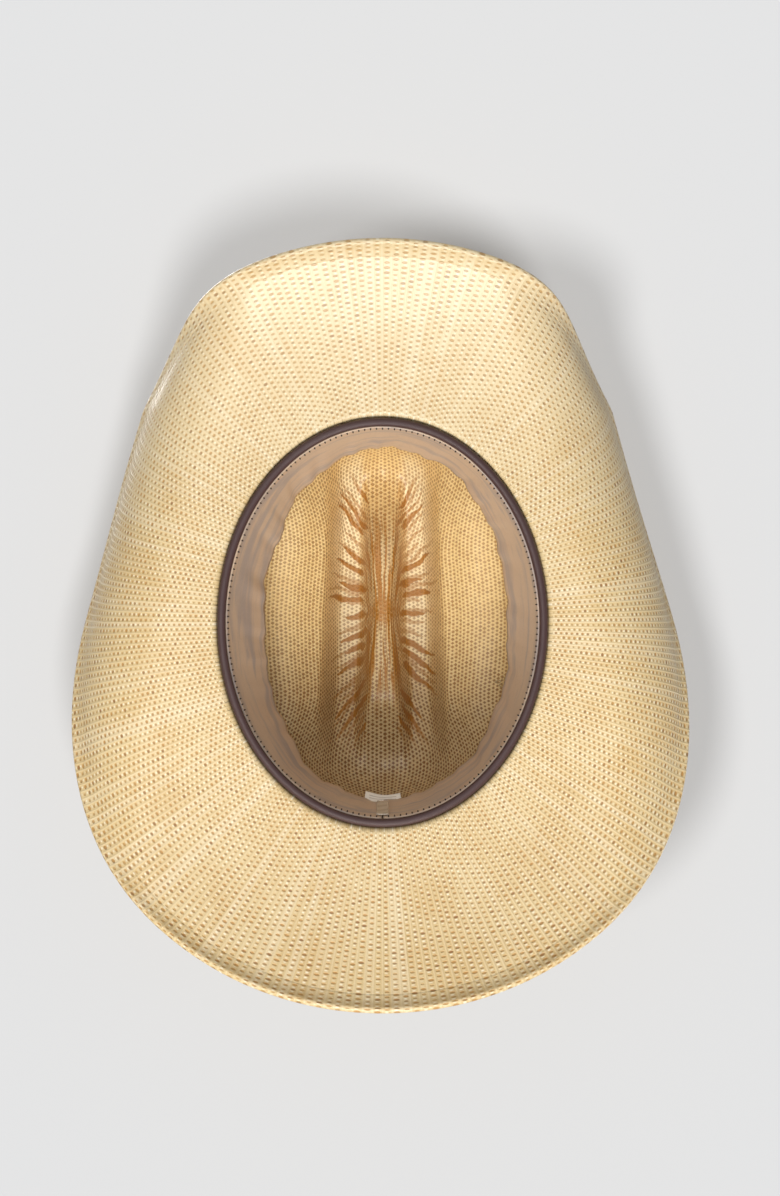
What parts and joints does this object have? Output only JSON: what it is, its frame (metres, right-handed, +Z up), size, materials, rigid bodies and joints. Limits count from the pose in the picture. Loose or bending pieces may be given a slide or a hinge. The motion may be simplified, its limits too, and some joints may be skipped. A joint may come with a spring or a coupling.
{
  "type": "cowboy hat",
  "caption": "Straw cowboy hat with rolled brim sides, a cattleman crease, an inner leather sweatband and a buckled leather band round the crown.",
  "frame": {"origin": "centre of the head opening, level with the sides of the oval where the brim turns up into the crown", "axes": "+Z up out of the crown as the hat is worn, -Y towards the front of the hat, +X towards the wearer's left"},
  "size_m": [0.3259, 0.3901, 0.1492],
  "materials": {
    "straw": "lacquered woven straw, satin",
    "spring_steel": "bright drawn wire",
    "sweatband_leather": "smooth, slightly glossy",
    "reed_plastic": "plain",
    "piping_fabric": "coated tape, satin",
    "thread": "twisted thread",
    "clear_plastic": "clear, glossy",
    "label_fabric": "woven tape, matt",
    "band_leather": "oiled, satin",
    "silver": "antiqued silver plate"
  },
  "bodies": {
    "body": {"straw_body": "straw", "brim_edge_wire": "spring_steel", "sweatband": "sweatband_leather", "sweatband_reed": "reed_plastic", "reed_piping": "piping_fabric", "sweatband_thread": "thread", "seam_tab": "clear_plastic", "size_label": "label_fabric", "hatband": "band_leather", "buckle_chape": "band_leather", "hatband_billet": "band_leather", "billet_tip": "silver", "chape_rivet_upper": "silver", "chape_rivet_lower": "silver", "billet_rivet": "silver"},
    "frame": {"buckle_frame": "silver"},
    "prong": {"buckle_prong": "silver"},
    "keeper": {"billet_keeper": "silver"}
  },
  "joints": [
    {"name": "buckle_frame_hinge", "type": "hinge", "parent": "body", "child": "frame", "pos_m": [0.08892, 0.03077, 0.01723], "axis": [-0.0709, -0.0046, 0.9975], "range_deg": [0, 20]},
    {"name": "buckle_prong_hinge", "type": "hinge", "parent": "frame", "child": "prong", "pos_m": [0.08892, 0.03077, 0.01723], "axis": [-0.0709, -0.0046, 0.9975], "range_deg": [0, 70]},
    {"name": "keeper_slide", "type": "slide", "parent": "body", "child": "keeper", "axis": [0.3211, -0.947, 0.0019], "range_m": [-0.002, 0.002]}
  ]
}
